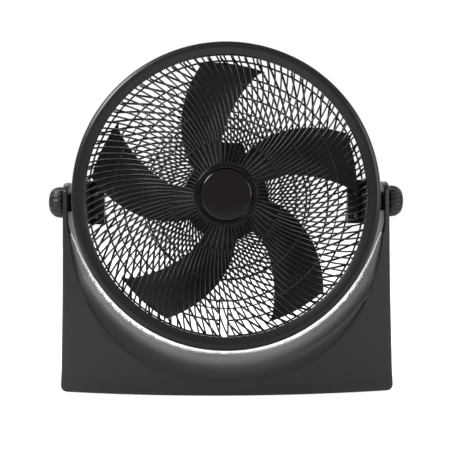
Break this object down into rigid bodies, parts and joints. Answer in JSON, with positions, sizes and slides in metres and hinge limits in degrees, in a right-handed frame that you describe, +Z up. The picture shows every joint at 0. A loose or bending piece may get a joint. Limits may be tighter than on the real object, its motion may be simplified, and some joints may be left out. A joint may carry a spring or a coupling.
{
  "type": "air circulator fan",
  "caption": "Round fan head with swept blades between spiral ribbed guards, tilting on friction knobs between the arms of a broad U-shaped floor base.",
  "frame": {"origin": "middle of the footprint on the floor", "axes": "+X to the right as seen from the front, -Y the way the head blows at rest, +Z up"},
  "size_m": [0.6114, 0.2384, 0.5885],
  "materials": {
    "base_plastic": "satin moulded black plastic",
    "head_plastic": "satin moulded black plastic",
    "guard_plastic": "satin moulded black plastic",
    "blade_plastic": "fine matt moulded black plastic",
    "badge_plastic": "glossy dark disc",
    "washer_nylon": "black nylon",
    "foot_rubber": "matt black rubber",
    "bare_steel": "turned steel",
    "motor_casting": "die cast",
    "core_steel": "stacked steel sheets",
    "winding_copper": "enamelled copper wire",
    "bearing_bronze": "sintered bronze",
    "switch_plastic": "natural plastic"
  },
  "bodies": {
    "base": {"base_front_shell": "base_plastic", "base_rear_shell": "base_plastic", "right_friction_washer": "washer_nylon", "left_friction_washer": "washer_nylon", "right_front_foot": "foot_rubber", "left_front_foot": "foot_rubber", "right_rear_foot": "foot_rubber", "left_rear_foot": "foot_rubber"},
    "head": {"front_guard": "guard_plastic", "front_guard_ring_1": "guard_plastic", "front_guard_ring_2": "guard_plastic", "front_guard_ring_3": "guard_plastic", "hub_badge": "badge_plastic", "drum": "head_plastic", "rear_guard": "guard_plastic", "rear_guard_ring_1": "guard_plastic", "rear_guard_ring_2": "guard_plastic", "rear_guard_ring_3": "guard_plastic", "rear_guard_ring_4": "guard_plastic", "rear_guard_ring_5": "guard_plastic", "motor_front_bell": "motor_casting", "motor_rear_bell": "motor_casting", "stator_core": "core_steel", "front_winding": "winding_copper", "rear_winding": "winding_copper", "front_bearing": "bearing_bronze", "rear_bearing": "bearing_bronze", "control_cover": "head_plastic", "speed_switch": "switch_plastic", "capacitor": "switch_plastic", "cord_gland": "foot_rubber", "right_pivot_block": "head_plastic", "left_pivot_block": "head_plastic"},
    "impeller": {"impeller_blades": "blade_plastic", "motor_shaft": "bare_steel", "rotor": "core_steel", "blade_nut": "blade_plastic"},
    "speed_control": {"speed_knob": "head_plastic", "switch_spindle": "bare_steel"},
    "right_knob": {"right_tilt_knob": "head_plastic", "right_knob_stud": "bare_steel"},
    "left_knob": {"left_tilt_knob": "head_plastic", "left_knob_stud": "bare_steel"}
  },
  "joints": [
    {"name": "head_tilt", "type": "hinge", "parent": "base", "child": "head", "pos_m": [0, -0.00475, 0.3256], "axis": [-1, 0, 0], "range_deg": [-15, 90]},
    {"name": "blade_spin", "type": "hinge", "parent": "head", "child": "impeller", "pos_m": [0, -0.02, 0.332], "axis": [0, 1, 0], "continuous": true},
    {"name": "speed_knob_turn", "type": "hinge", "parent": "head", "child": "speed_control", "pos_m": [0, 0.0617, 0.404], "axis": [0, -1, 0], "range_deg": [0, 135]},
    {"name": "right_knob_turn", "type": "hinge", "parent": "head", "child": "right_knob", "pos_m": [0.2793, -0.00475, 0.3256], "axis": [1, 0, 0], "range_deg": [0, 360]},
    {"name": "left_knob_turn", "type": "hinge", "parent": "head", "child": "left_knob", "pos_m": [-0.2793, -0.00475, 0.3256], "axis": [-1, 0, 0], "range_deg": [0, 360]}
  ]
}
